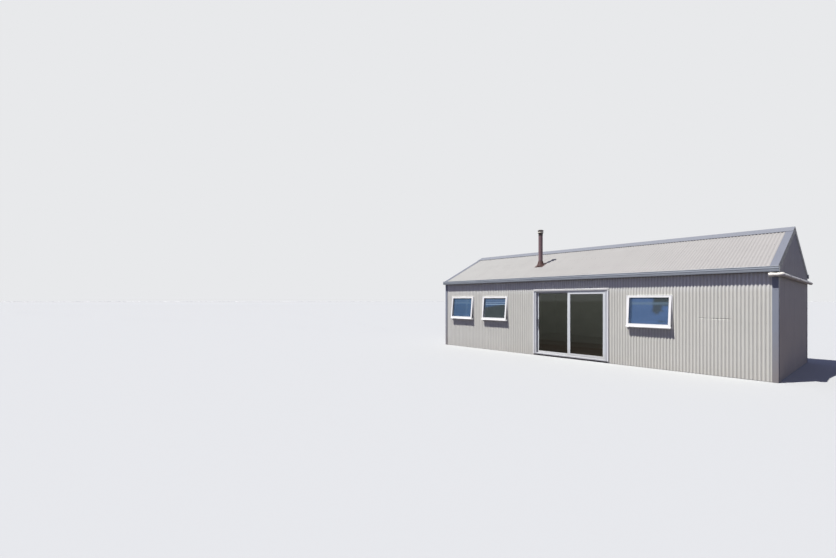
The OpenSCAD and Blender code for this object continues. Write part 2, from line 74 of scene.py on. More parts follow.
# Corrugated sheets: a rib's width and depth, a sheet's width, and from crest to wall behind
RIB = 0.0762
RIB_DEPTH = 0.016
SHEET = 10 * RIB
SKIN = 0.018

# The slab, the roof panels' thickness and underside, and the wall sheets' ends
SLAB_H = 0.05
PANEL_T = 0.1
ROOF_UNDER = APEX_H - (SKIN + PANEL_T) * SLOPE
CLAD_LOW = 0.008
CLAD_TOP = EAVE_H - SKIN * SLOPE - 0.002
GABLE_TOP = ROOF_UNDER - 0.004

# Whole ribs to each side of the middle, and the roof sheets' ends down the slope
RIBS_L = math.floor((HALF_L - SKIN) / RIB)
RIBS_D = math.floor((HALF_D - SKIN) / RIB)
SHEETS_L = RIBS_L * RIB
SHEETS_D = RIBS_D * RIB
SLOPE_START = 0.03
SLOPE_END = (HALF_D + EAVE_OUT) * SLOPE

# The door's opening, half a window's width, the windows' head and sill, and their middles
DOOR_X0, DOOR_X1, DOOR_HEAD = -1.015, 1.495, 2.175
HALF_W = 1.18 / 2
WIN_HEAD = 2.015
WIN_SILL = WIN_HEAD - 0.915
WINDOWS = {"a": -4.375, "b": -2.725, "c": 2.63}
SASH_OPEN = math.radians(6.0)
FLUE_X, FLUE_Y, FLUE_R, FLUE_TOP = -1.4, -1.374, 0.075, 4.275

# Faces that pieces are built on: x along the face, y out of it, and z up or down the slope
MIRROR_X = Matrix.Diagonal((-1, 1, 1, 1))
MIRROR_Y = Matrix.Diagonal((1, -1, 1, 1))
ON_FRONT = Matrix.Translation((0, -HALF_D, 0)) @ MIRROR_Y
ON_REAR = MIRROR_Y @ ON_FRONT
ON_RIGHT = Matrix.Translation((HALF_L, 0, 0)) @ Matrix.Rotation(-math.pi / 2, 4, "Z")
ON_LEFT = MIRROR_X @ ON_RIGHT
ON_SLOPE = Matrix.Translation((0, 0, APEX_H)) @ Matrix.Rotation(math.pi / 2 + PITCH, 4, "X")
ON_BACK_SLOPE = MIRROR_Y @ ON_SLOPE

# Makes a prism of (y, z) points run along x, and one of (x, z) points run out to the front
ACROSS = Matrix(((0, 0, 1, 0), (1, 0, 0, 0), (0, 1, 0, 0), (0, 0, 0, 1)))
TO_FRONT = Matrix.Rotation(math.pi / 2, 4, "X")


# Mesh helpers

# How near each other points are joined, in pieces made here and in CAD meshes
WELD, CAD_WELD = 1e-6, 2e-5
# CAD faces that meet flatter than the first are joined, and edges sharper than the second rounded
CAD_FLAT = math.radians(1.0)
EDGE_ANGLE = 30.0
# A face is broad, and stays flat, where its neighbours are under this share of its area
BROAD = 0.2


def piece(name, mesh, material, body=CABIN, smooth=30):
    """A new object on a body, with its material and shading."""
    obj = bpy.data.objects.new(name, mesh)
    bpy.context.scene.collection.objects.link(obj)
    mesh.materials.append(material)
    shade(mesh, smooth)
    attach(obj, body)
    return obj


def shade(mesh, degrees):
    """Smooth shading for curves, with edges sharper than the angle and broad flat faces crisp."""
    bm = bmesh.new()
    bm.from_mesh(mesh)
    limit = math.radians(degrees)
    for e in bm.edges:
        e.smooth = len(e.link_faces) == 2 and e.calc_face_angle(0) < limit
    for f in bm.faces:
        beside = [g.calc_area() for e in f.edges if e.smooth for g in e.link_faces if g is not f]
        f.smooth = bool(beside) and max(beside) > BROAD * f.calc_area()
    bm.to_mesh(mesh)
    bm.free()


def new_mesh(name, verts, faces):
    mesh = bpy.data.meshes.new(name)
    mesh.from_pydata(verts, [], faces)
    mesh.update()
    return mesh


class Build:
    """Collects solids in one list of points and faces."""

    def __init__(self):
        self.verts = []
        self.faces = []

    def add(self, verts, faces, place=None):
        base = len(self.verts)
        for v in verts:
            self.verts.append(tuple(place @ Vector(v)) if place else tuple(v))
        self.faces.extend([tuple(base + i for i in f) for f in faces])

    def prism(self, outline, low, high, place=None):
        """A closed outline of (x, y) points drawn out along z."""
        n = len(outline)
        verts = [(x, y, low) for x, y in outline] + [(x, y, high) for x, y in outline]
        faces = [tuple(range(n - 1, -1, -1)), tuple(range(n, 2 * n))]
        faces += [(i, (i + 1) % n, n + (i + 1) % n, n + i) for i in range(n)]
        self.add(verts, faces, place)

    def box(self, x0, x1, y0, y1, z0, z1, place=None):
        self.prism([(x0, y0), (x1, y0), (x1, y1), (x0, y1)], z0, z1, place)

    def lathe(self, profile, place, sides=48):
        """Turns a closed profile of (radius, z) points round z."""
        verts, faces = [], []
        n = len(profile)
        for s in range(sides):
            a = 2 * math.pi * s / sides
            verts += [(r * math.cos(a), r * math.sin(a), z) for r, z in profile]
        for s in range(sides):
            t = (s + 1) % sides
            for i in range(n):
                j = (i + 1) % n
                if profile[i][0] == 0 and profile[j][0] == 0:
                    continue
                faces.append((s * n + i, t * n + i, t * n + j, s * n + j))
        self.add(verts, faces, place)

    def mesh(self, name, bevel=0.0):
        mesh = new_mesh(name, self.verts, self.faces)
        bm = bmesh.new()
        bm.from_mesh(mesh)
        bmesh.ops.remove_doubles(bm, verts=bm.verts, dist=WELD)
        bmesh.ops.recalc_face_normals(bm, faces=bm.faces)
        if bevel:
            round_edges(bm, bevel, 1, EDGE_ANGLE)
        bm.to_mesh(mesh)
        bm.free()
        return mesh


def round_edges(bm, width, segments, angle):
    limit = math.radians(angle)
    edges = [e for e in bm.edges if len(e.link_faces) == 2 and e.calc_face_angle(0) > limit]
    bmesh.ops.bevel(bm, geom=edges, offset=width, segments=segments, profile=0.7,
                    affect="EDGES", clamp_overlap=True)


def softened(node, paint, width, segments, angle=EDGE_ANGLE):
    """A copy of a CAD node with its sharp edges rounded, which stands for it."""
    source = NODES[node]
    mesh = source.data.copy()
    mesh.materials.clear()
    bm = bmesh.new()
    bm.from_mesh(mesh)
    bmesh.ops.remove_doubles(bm, verts=bm.verts, dist=CAD_WELD)
    bmesh.ops.dissolve_limit(bm, angle_limit=CAD_FLAT, verts=bm.verts, edges=bm.edges)
    round_edges(bm, width, segments, angle)
    bmesh.ops.recalc_face_normals(bm, faces=bm.faces)
    bm.to_mesh(mesh)
    bm.free()
    obj = piece(node + "_piece", mesh, MAT[paint], source["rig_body"], smooth=35)
    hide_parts(node)


def repaint(node, paint):
    """Gives a CAD node that shows as it is its own material."""
    materials = NODES[node].data.materials
    materials.clear()
    materials.append(MAT[paint])


# Materials

# A colour Mix node's sockets
MIX_FACTOR, MIX_A, MIX_B, MIX_RESULT = 0, 6, 7, 2
# The range that most of a noise lies in
MIDDLE = (0.3, 0.7)


class Tree:
    """Short calls that add nodes. An input is a number, a vector, a colour or a socket."""

    def __init__(self, tree):
        self.tree = tree

    def feed(self, socket, value):
        if isinstance(value, bpy.types.NodeSocket):
            self.tree.links.new(value, socket)
        else:
            socket.default_value = value

    def node(self, kind, inputs=None, **settings):
        node = self.tree.nodes.new(kind)
        for key, value in settings.items():
            setattr(node, key, value)
        for key, value in (inputs or {}).items():
            self.feed(node.inputs[key], value)
        return node

    def ramp(self, value, low, high, out_low=0.0, out_high=1.0):
        inputs = {"Value": value, "From Min": low, "From Max": high,
                  "To Min": out_low, "To Max": out_high}
        return self.node("ShaderNodeMapRange", inputs).outputs["Result"]

    def math(self, kind, a, b=0.0):
        return self.node("ShaderNodeMath", {0: a, 1: b}, operation=kind).outputs[0]

    def vectors(self, kind, a, b=(0.0, 0.0, 0.0), result="Vector"):
        node = self.node("ShaderNodeVectorMath", {0: a, 1: b}, operation=kind)
        return node.outputs[result]

    def mix(self, factor, a, b, blend="MIX"):
        inputs = {MIX_FACTOR: factor, MIX_A: a, MIX_B: b}
        node = self.node("ShaderNodeMix", inputs, data_type="RGBA", blend_type=blend)
        return node.outputs[MIX_RESULT]

    def split(self, vector, letter):
        return self.node("ShaderNodeSeparateXYZ", {0: vector}).outputs[letter]


class Shader(Tree):
    """A material built round one Principled shader, laid out in the object's coordinates."""

    def __init__(self, name, **sockets):
        self.mat = bpy.data.materials.new(name)
        self.mat.use_nodes = True
        super().__init__(self.mat.node_tree)
        self.bsdf = self.tree.nodes["Principled BSDF"]
        self.place = self.node("ShaderNodeTexCoord").outputs["Object"]
        for key, value in sockets.items():
            self.set(key.replace("_", " "), value)

    def set(self, key, value):
        self.feed(self.bsdf.inputs[key], value)

    def axis(self, letter):
        return self.split(self.place, letter)

    def scaled(self, x, y, z):
        inputs = {"Vector": self.place, "Scale": (x, y, z)}
        return self.node("ShaderNodeMapping", inputs).outputs["Vector"]

    def noise(self, scale, detail=3.0, rough=0.55, at=None):
        inputs = {"Vector": at or self.place, "Scale": scale, "Detail": detail,
                  "Roughness": rough}
        return self.node("ShaderNodeTexNoise", inputs).outputs["Fac"]

    def bump(self, height, strength, distance, soft_ribs=1.0):
        inputs = {"Height": height, "Strength": strength, "Distance": distance}
        if soft_ribs < 1.0:
            normal = self.node("ShaderNodeNewGeometry").outputs["Normal"]
            across = self.vectors("MULTIPLY", normal, (soft_ribs, 1.0, 1.0))
            inputs["Normal"] = self.vectors("NORMALIZE", across)
        self.set("Normal", self.node("ShaderNodeBump", inputs).outputs["Normal"])


def rgba(r, g, b):
    return (r, g, b, 1.0)


def srgb(r, g, b):
    """A colour given as 0 to 255 in sRGB."""
    def linear(v):
        v /= 255.0
        return v / 12.92 if v <= 0.04045 else ((v + 0.055) / 1.055) ** 2.4
    return rgba(linear(r), linear(g), linear(b))


# What the paints have in common, with the painted shade in the rib troughs, and how high up the
# lower edge of the painted light under the eaves blends in
BLOTCH = rgba(0.94, 0.94, 0.94)
PAINTED_TROUGH_SHADE = srgb(158, 154, 147)
DUST = srgb(150, 128, 97)
EAVE_LIFT_EDGE = 0.2


def painted(name, colour, worn, rough=0.42, dust=0.0, dust_top=0.42, streaks=0.3,
            grain=(9.0, 9.0, 0.7), tone_ramp=None, eave_shadow_lift=None, troughs=None, soft_ribs=1.0, gloss=0.4):
    """Baked paint on sheet steel: faint blotches, run-off streaks and dust near the ground.

    Colours are given as 0 to 255 in sRGB. worn is the streaks' colour, and grain is how fine the
    streaks are along each axis. tone_ramp names an axis, a start and an end along it, and the
    colour reached at the end: painted light towards the walls' left end, painted shade up the
    right gable, and on the roof lighter towards its left end. eave_shadow_lift is the height from
    which painted light lifts the shadow under the eaves, and the colour of the paint there.
    troughs names the axis the ribs rise along, their crests' place on it and the share of painted
    shade at the bottom of the troughs. soft_ribs is the share of the ribs' steepness across x that
    the shading keeps.
    """
    s = Shader(name, Metallic=0.0, Specular_IOR_Level=gloss)
    paint = srgb(*colour)
    # A colour ramp along one axis: painted light on the walls, painted shade on the right gable
    if tone_ramp:
        axis, start, end, ramp_end = tone_ramp
        paint = s.mix(s.ramp(s.axis(axis), start, end), paint, srgb(*ramp_end))
    # Painted light: lighter paint from this height up, lifting the shadow under the eaves
    if eave_shadow_lift:
        height, lift_colour = eave_shadow_lift
        eave_band = s.ramp(s.axis("Z"), height, height + EAVE_LIFT_EDGE)
        paint = s.mix(eave_band, paint, srgb(*lift_colour))
    base = s.mix(s.ramp(s.noise(1.3, 4.0), *MIDDLE), paint, BLOTCH, "MULTIPLY")
    runs = s.ramp(s.noise(1.0, 5.0, 0.6, s.scaled(*grain)), 0.42, 0.75, 0.0, streaks)
    base = s.mix(runs, base, srgb(*worn))
    # Painted shade: the rib troughs darkened towards their bottoms
    if troughs:
        axis, crest, share = troughs
        depth = s.math("ABSOLUTE", s.axis(axis))
        base = s.mix(s.ramp(depth, crest - RIB_DEPTH, crest, share, 0.0), base, PAINTED_TROUGH_SHADE)
    if dust:
        ragged = s.ramp(s.noise(7.0, 4.0), 0.2, 0.8, -0.12, 0.12)
        height = s.math("ADD", s.axis("Z"), ragged)
        base = s.mix(s.ramp(height, 0.02, dust_top, dust, 0.0), base, DUST)
    s.set("Base Color", base)
    s.set("Roughness", s.ramp(s.noise(26.0, 3.0), *MIDDLE, rough - 0.05, rough + 0.08))
    s.bump(s.noise(420.0, 2.0), 0.08, 0.0006, soft_ribs)
    return s.mat


def make_materials():
    """Every material, by the short name that the pieces give."""
    m = {}
    # Painted light towards the left end and in the eaves' shadow, painted shade in the troughs
    m["wall"] = painted(
        "wall_paint", (221, 220, 211), (205, 205, 196), dust=0.06, streaks=0.22,
        tone_ramp=("X", -1.5, -5.3, (226, 225, 218)), eave_shadow_lift=(2.06, (236, 236, 231)),
        troughs=("Y", HALF_D, 0.3), soft_ribs=0.85)
    # Painted shade in the troughs
    m["left_gable"] = painted(
        "left_gable_paint", (226, 225, 221), (205, 205, 198), dust=0.06, streaks=0.22,
        troughs=("X", HALF_L, 0.12))
    # Shaded right gable: the sheet paint set lighter and warmer; painted shade up it and in
    # troughs
    m["gable"] = painted(
        "gable_paint", (236, 227, 207), (208, 200, 188), dust=0.12,
        tone_ramp=("Z", 0.8, 3.6, (170, 172, 180)), troughs=("X", HALF_L, 0.1), gloss=0.45)
    # Painted shade: set darker than the walls' paint, against the full sun on the slopes
    m["roof"] = painted(
        "roof_paint", (157, 154, 151), (150, 147, 145), rough=0.48, streaks=0.22,
        grain=(9, 2.2, 2.2), tone_ramp=("X", 4.5, -5.0, (166, 165, 161)), soft_ribs=0.6, gloss=0.1)
    # Painted shade: ridge and barge caps set darker than the corners' same trim steel, under more
    # sun
    m["ridge"] = painted(
        "ridge_paint", (119, 122, 131), (110, 112, 120), rough=0.4, streaks=0.2)
    m["barge"] = painted(
        "barge_paint", (116, 119, 129), (107, 110, 120), rough=0.4, streaks=0.2, gloss=0.1)
    m["corner"] = painted(
        "corner_paint", (147, 152, 164), (138, 140, 146), rough=0.4, dust=0.4, dust_top=1.3,
        gloss=0.2)
    m["gutter"] = painted(
        "gutter_paint", (140, 146, 154), (128, 133, 141), rough=0.3, grain=(0.9, 6.0, 6.0))
    m["white"] = painted(
        "window_paint", (250, 250, 248), (238, 238, 236), rough=0.3, streaks=0.1)
    m["door"] = painted(
        "door_paint", (233, 237, 237), (219, 223, 224), rough=0.32, streaks=0.15, dust=0.3)
    m["trim"] = painted(
        "door_trim_paint", (246, 246, 245), (232, 232, 231), rough=0.35, streaks=0.1)
    m["door_frame"] = painted(
        "door_frame_paint", (210, 213, 216), (196, 199, 202), rough=0.34, streaks=0.2, dust=0.15)
    m["flashing"] = painted("flashing_paint", (206, 205, 203), (192, 191, 189), rough=0.38)
    m["flue"] = painted("flue_paint", (129, 105, 108), (99, 81, 85), rough=0.55, streaks=0.5)
    m["boot"] = painted("boot_rubber", (85, 61, 57), (55, 40, 39), rough=0.6, streaks=0.5)
    m["cowl"] = painted("cowl_metal", (88, 79, 77), (48, 42, 42), rough=0.45, streaks=0.6)
    m["cowl_band"] = painted("cowl_band_metal", (240, 234, 216), (212, 204, 184), rough=0.4)
    m["pipe"] = painted(
        "pipe_plastic", (250, 245, 233), (236, 230, 217), rough=0.28, streaks=0.2,
        grain=(4, 1.2, 6))
    m["screw"] = painted(
        "screw_paint", (199, 196, 190), (167, 164, 157), rough=0.4, streaks=0.5)
    m["roof_screw"] = painted("roof_screw_paint", (153, 150, 149), (129, 125, 122), rough=0.4)
    m["trim_screw"] = painted("trim_screw_paint", (136, 140, 149), (118, 120, 127), rough=0.4)
    m["steel"] = painted("plain_steel", (162, 162, 162), (129, 127, 125), rough=0.3)
    m["rubber"] = painted("seal_rubber", (34, 34, 36), (22, 22, 23), rough=0.6)
    m["pull"] = painted("pull_plastic", (40, 40, 43), (26, 26, 28), rough=0.35)
    m["lining"] = lining_board()
    m["slab"] = slab_and_floor()
    for key in WINDOWS:
        m["glass_" + key] = window_glass(key)
    m["door_glass"] = door_glass()
    m["screen"] = fly_screen()
    return m


def from_middle(s, along, width):
    """How far from the middle of its board a point lies, in widths: 0.5 is on a joint."""
    board = s.math("FRACT", s.math("MULTIPLY", along, 1 / width))
    return s.math("ABSOLUTE", s.math("SUBTRACT", board, 0.5))


def lining_board():
    """Painted lining boards, with a joint every 0.9 m."""
    s = Shader("lining_boards", Roughness=0.6)
    joint = s.ramp(from_middle(s, s.axis("X"), 0.9), 0.494, 0.499)
    tone = s.mix(s.ramp(s.noise(2.0, 4.0), *MIDDLE), srgb(196, 198, 188), srgb(184, 186, 176))
    s.set("Base Color", s.mix(joint, tone, srgb(120, 120, 112)))
    s.bump(s.math("SUBTRACT", s.noise(160.0, 3.0), joint), 0.15, 0.001)
    return s.mat


def slab_and_floor():
    """Concrete at the sides, and dark floor boards on top."""
    s = Shader("slab_and_floor", IOR=1.45)
    concrete = s.mix(s.noise(18.0, 6.0), srgb(150, 145, 138), srgb(112, 106, 98))
    seam = s.ramp(from_middle(s, s.axis("Y"), 0.14), 0.485, 0.497)
    grain = s.noise(3.0, 6.0, 0.6, s.scaled(1.2, 24.0, 1.0))
    wood = s.mix(grain, srgb(124, 104, 88), srgb(80, 66, 56))
    wood = s.mix(seam, wood, srgb(24, 19, 16))
    top = s.ramp(s.axis("Z"), SLAB_H - 0.002, SLAB_H - 0.001)
    s.set("Base Color", s.mix(top, concrete, wood))
    s.set("Roughness", s.ramp(top, 0.0, 1.0, 0.85, 0.4))
    s.bump(s.noise(90.0, 5.0), 0.3, 0.002)
    return s.mat


def window_glass(key):
    """Pane painted with reflections: blue, pale bands, and dark patches in b and c; and with
    painted shadow along its left edge and head.

    u is measured from the window's middle to the right.
    """
    s = Shader("window_glass_" + key, Roughness=0.05, IOR=1.45, Alpha=0.5,
               Specular_IOR_Level=0.25)
    u, z = s.math("SUBTRACT", s.axis("X"), WINDOWS[key]), s.axis("Z")
    # The colour of the painted dark reflections
    dark_reflection = srgb(82, 93, 96)

    def near(value, centre, half, share):
        away = s.math("ABSOLUTE", s.math("SUBTRACT", value, centre))
        return s.ramp(away, half * 0.5, half * 1.5, share, 0.0)

    # The pane's colours are painted reflections, and its dark left edge and head painted shadow
    patches = s.ramp(s.noise(2.4, 3.0), 0.35, 0.65)
    edge_shadow_share, head_shadow_share = 0.95, 0.8
    if key == "c":
        edge_shadow_share, head_shadow_share = 0.6, 0.4
        colour = s.mix(patches, srgb(92, 123, 165), srgb(102, 133, 177))
        flat = 0.8
        middle = (WINDOWS[key] + 0.23, 0.0, flat * 1.68)
        away = s.vectors("DISTANCE", s.scaled(1.0, 0.0, flat), middle, "Value")
        ragged = s.ramp(s.noise(9.0, 4.0, 0.6), *MIDDLE, -0.05, 0.05)
        blot = s.ramp(s.math("ADD", away, ragged), 0.10, 0.17, 0.85, 0.0)
        corner = s.math("MULTIPLY", s.ramp(u, 0.08, 0.16), s.ramp(z, 1.70, 1.76))
        colour = s.mix(s.math("MAXIMUM", blot, corner), colour, dark_reflection)
        colour = s.mix(near(z, 1.79, 0.036, 0.6), colour, srgb(132, 158, 178))
        stroke = s.math("MULTIPLY", near(u, 0.34, 0.08, 1.0), near(z, 1.30, 0.02, 0.6))
        colour = s.mix(stroke, colour, dark_reflection)
    elif key == "b":
        colour = s.mix(patches, srgb(92, 120, 156), srgb(98, 127, 164))
        slant = s.math("SUBTRACT", z, s.math("MULTIPLY", u, 0.14))
        below = s.ramp(slant, 1.63, 1.70, 1.0, 0.0)
        colour = s.mix(below, colour, s.mix(patches, srgb(76, 86, 88), dark_reflection))
        for level, share in ((1.87, 0.25), (1.793, 0.6), (1.722, 1.0)):
            colour = s.mix(near(z, level, 0.015, share), colour, srgb(172, 198, 222))
    else:
        colour = s.mix(patches, srgb(84, 116, 152), srgb(90, 124, 162))
        for band in ((z, 1.86, 0.02, 0.45), (z, 1.77, 0.035, 0.65), (u, 0.26, 0.04, 0.3)):
            colour = s.mix(near(*band), colour, srgb(126, 158, 186))
    # Painted shadow of the sash's stile and head on the pane
    edge = s.ramp(u, -0.44, -0.415, edge_shadow_share, 0.0)
    head = s.ramp(z, 1.90, 1.93, 0.0, head_shadow_share)
    s.set("Base Color", s.mix(s.math("MAXIMUM", edge, head), colour, srgb(54, 68, 88)))
    return s.mat


def door_glass():
    s = Shader("door_glass", Roughness=0.02, IOR=1.45, Specular_IOR_Level=0.5,
               Transmission_Weight=1.0, Alpha=0.55)
    s.set("Base Color", s.mix(s.noise(1.5, 2.0), srgb(150, 160, 158), srgb(132, 142, 140)))
    return s.mat


def fly_screen():
    s = Shader("fly_screen", Roughness=0.7, Alpha=0.55)
    s.set("Base Color", s.mix(s.noise(300.0, 2.0), srgb(46, 48, 50), srgb(32, 34, 36)))
    return s.mat


MAT = make_materials()


# Corrugated sheets

RIB_STEPS = 12
METAL = 0.0008
LAP_GAP = 0.0003
END_GAP = 0.0004
# How far a lap reaches past a joint and back from it
LAP_PAST, LAP_BACK = 0.2 * RIB, 0.8 * RIB
# Heights of rows of points between the sheets' ends
WALL_ROW, GABLE_ROW = 0.9, 2.3


def trough(x):
    return RIB_DEPTH * (1 - math.cos(2 * math.pi * x / RIB)) / 2


def stops_between(x0, x1, step, margin):
    """The two ends, and the whole steps between them that keep the margin from the ends."""
    first, last = math.ceil((x0 + margin) / step), math.floor((x1 - margin) / step)
    return [x0] + [i * step for i in range(first, last + 1)] + [x1]


def wave_stops(x0, x1):
    return stops_between(x0, x1, RIB / RIB_STEPS, 1e-4)


def wave_sheet(build, x0, x1, rows, place, top=None, dent=None):
    """One sheet, its crests at y = 0 and its ribs along z.

    top(x) trims its upper end, and dent(x, z) is how far a point is pushed in.
    """
    stops = wave_stops(x0, x1)
    n, r = len(stops), len(rows)
    verts = []
    for side in (0.0, METAL):
        for z in rows:
            for x in stops:
                end = min(z, top(x)) if top else z
                y = -trough(x) - side - (dent(x, end) if dent else 0.0)
                verts.append((x, y, end))
    faces = []
    back = n * r
    for j in range(r - 1):
        for i in range(n - 1):
            a, b, c, d = j * n + i, j * n + i + 1, (j + 1) * n + i + 1, (j + 1) * n + i
            faces.append((d, c, b, a))
            faces.append((back + a, back + b, back + c, back + d))
    top_row = (r - 1) * n
    for i in range(n - 1):
        faces.append((i, i + 1, back + i + 1, back + i))
        faces.append((top_row + i + 1, top_row + i, back + top_row + i, back + top_row + i + 1))
    for j in range(r - 1):
        a, d = j * n, (j + 1) * n
        faces.append((a, back + a, back + d, d))
        b, c = a + n - 1, d + n - 1
        faces.append((b, c, back + c, back + b))
    build.add(verts, faces, place)


def wave_run(build, x0, x1, rows, place, top=None, dent=None):
    """Sheets side by side, with a strip over each joint for the lap of one on the next."""
    edges = stops_between(x0, x1, SHEET, 0.001)
    over = place @ Matrix.Translation((0, METAL + LAP_GAP, 0))
    for i, (a, b) in enumerate(zip(edges, edges[1:])):
        wave_sheet(build, a + END_GAP, b - END_GAP, rows, place, top, dent)
        if i > 0 and a + LAP_PAST < x1:
            wave_sheet(build, max(a - LAP_BACK, x0), a + LAP_PAST, rows, over, top, dent)


# The crease along x, as places and shares of its full depth
CREASE = ((3.80, 0.0), (3.84, 0.45), (3.98, 0.6), (4.03, 0.35), (4.08, 0.8), (4.22, 0.85),
          (4.27, 0.35), (4.34, 0.8), (4.40, 1.0), (4.475, 1.0), (4.50, 0.0))
# Its depth, its height at its left end, its fall per metre, and its reach above and below
CREASE_DEPTH, CREASE_H, CREASE_FALL = 0.013, 1.417, 0.014
CREASE_ABOVE, CREASE_BELOW = 0.024, 0.008
CREASE_ROWS = [1.39] + [1.395 + 0.002 * i for i in range(27)] + [1.46]


def crease(x, z):
    """The dent across the ribs to the right of the right window."""
    share = 0.0
    for (xa, a), (xb, b) in zip(CREASE, CREASE[1:]):
        if xa <= x < xb:
            share = a + (b - a) * (x - xa) / (xb - xa)
    z -= CREASE_H - CREASE_FALL * (x - CREASE[0][0])
    slope = 1 - z / CREASE_ABOVE if z > 0 else 1 + z / CREASE_BELOW
    return CREASE_DEPTH * share * max(0.0, slope)


def sheets_piece(node, build, paint):
    obj = piece(node + "_piece", build.mesh(node), MAT[paint], smooth=50)
    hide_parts(node)


def front_sheets():
    left, middle, right = Build(), Build(), Build()
    xa, xb, xc = (WINDOWS[k] for k in "abc")
    for build, x0, x1 in ((left, -SHEETS_L, xa - HALF_W), (left, xa + HALF_W, xb - HALF_W),
                          (left, xb + HALF_W, DOOR_X0), (right, DOOR_X1, xc - HALF_W)):
        wave_run(build, x0, x1, [CLAD_LOW, WALL_ROW, CLAD_TOP], ON_FRONT)
    rows = [CLAD_LOW] + CREASE_ROWS + [CLAD_TOP]
    wave_run(right, xc + HALF_W, SHEETS_L, rows, ON_FRONT, dent=crease)
    for build, x in ((left, xa), (left, xb), (right, xc)):
        for rows in ([CLAD_LOW, WIN_SILL], [WIN_HEAD, CLAD_TOP]):
            wave_run(build, x - HALF_W, x + HALF_W, rows, ON_FRONT)
    wave_run(middle, DOOR_X0, DOOR_X1, [DOOR_HEAD, CLAD_TOP], ON_FRONT)
    sheets_piece("front_sheets_left", left, "wall")
    sheets_piece("front_sheets_over_door", middle, "wall")
    sheets_piece("front_sheets_right", right, "wall")


def other_sheets():
    rear = Build()
    wave_run(rear, -SHEETS_L, SHEETS_L, [CLAD_LOW, CLAD_TOP], ON_REAR)
    sheets_piece("rear_sheets", rear, "wall")
    for place, node, paint in ((ON_LEFT, "left_gable_sheets", "left_gable"),
                               (ON_RIGHT, "right_gable_sheets", "gable")):
        gable = Build()
        wave_run(gable, -SHEETS_D, SHEETS_D, [CLAD_LOW, GABLE_ROW, GABLE_TOP], place,
                 top=lambda x: GABLE_TOP - abs(x) * RISE)
        sheets_piece(node, gable, paint)


def roof_sheets():
    for place, node in ((ON_SLOPE, "roof_sheets_front"), (ON_BACK_SLOPE, "roof_sheets_rear")):
        roof = Build()
        wave_run(roof, -SHEETS_L, SHEETS_L, [SLOPE_START, SLOPE_END], place)
        sheets_piece(node, roof, "roof")


front_sheets()
other_sheets()
roof_sheets()


# Screws

# A screw's washer radius, head radius and head height
SCREW = (0.0085, 0.0048, 0.005)
TRIM_SCREW = (0.006, 0.0035, 0.003)
WASHER_EDGE, WASHER_TOP = 0.0010, 0.0018
# Heights of the rows on the walls and corners, and places of the rows down the slope
WALL_SCREWS = (0.16, 0.74, 1.345, 1.95)
LONG_WALL_SCREWS = WALL_SCREWS + (2.42,)
GABLE_SCREWS = WALL_SCREWS + (2.55, 3.1)
CORNER_SCREWS = (0.12, 0.62, 1.12, 1.62, 2.12, 2.56)
ROOF_SCREWS = (0.42, 1.25, 2.05, SLOPE_END - 0.12)
CLEAR_OF_OPENING, CLEAR_OF_ROOF = 0.03, 0.08
# The trims' screws: how far in from the walls' corners, the roof's ends and the ridge
CORNER_IN, BARGE_IN, BARGE_DOWN, RIDGE_DOWN = 0.052, 0.08, 0.075, 0.305
# How far those trims stand out from the crests: corners, barge face, barge top and ridge cap
CORNER_OUT, BARGE_FACE, BARGE_TOP, RIDGE_TOP = 0.002, 0.004, 0.0023, 0.0125
# The barge screws' steps along y on the face, and their start and steps down the slope
BARGE_STEPS = 4
FACE_STEP, TOP_START, TOP_STEP = 0.52, 0.12, 0.56


def screw_head(build, place, size=SCREW):
    washer, head, height = size
    build.lathe([(0, 0), (washer, 0), (washer, WASHER_EDGE), (head * 1.3, WASHER_TOP),
                 (0, WASHER_TOP)], place, 10)
    hexagon = [(head * math.cos(math.radians(a)), head * math.sin(math.radians(a)))
               for a in range(0, 360, 60)]
    build.prism(hexagon, WASHER_TOP, WASHER_TOP + height, place)


def facing(place, x, y, z):
    """A screw's place on a sheet: its shank into the sheet along -y of the sheet's own frame."""
    return place @ Matrix.Translation((x, y, z)) @ Matrix.Rotation(-math.pi / 2, 4, "X")


def in_opening(x, z):
    reach = CLEAR_OF_OPENING
    if DOOR_X0 - reach < x < DOOR_X1 + reach and z < DOOR_HEAD + reach:
        return True
    return any(abs(x - c) < HALF_W + reach and WIN_SILL - reach < z < WIN_HEAD + reach
               for c in WINDOWS.values())


def wall_screws():
    """Heads in every other trough."""
    front, rear, gables = Build(), Build(), Build()
    for k in range(-RIBS_L + 1, RIBS_L - 1, 2):
        x = (k + 0.5) * RIB
        for z in LONG_WALL_SCREWS:
            if not in_opening(x, z):
                screw_head(front, facing(ON_FRONT, x, -RIB_DEPTH, z))
            screw_head(rear, facing(ON_REAR, x, -RIB_DEPTH, z))
    for k in range(-RIBS_D + 1, RIBS_D - 1, 2):
        x = (k + 0.5) * RIB
        for z in GABLE_SCREWS:
            if z < ROOF_UNDER - abs(x) * RISE - CLEAR_OF_ROOF:
                screw_head(gables, facing(ON_RIGHT, x, -RIB_DEPTH, z))
                screw_head(gables, facing(ON_LEFT, x, -RIB_DEPTH, z))
    for build, name in ((front, "front_wall_screws"), (rear, "rear_wall_screws"),
                        (gables, "gable_screws")):
        piece(name, build.mesh(name), MAT["screw"])


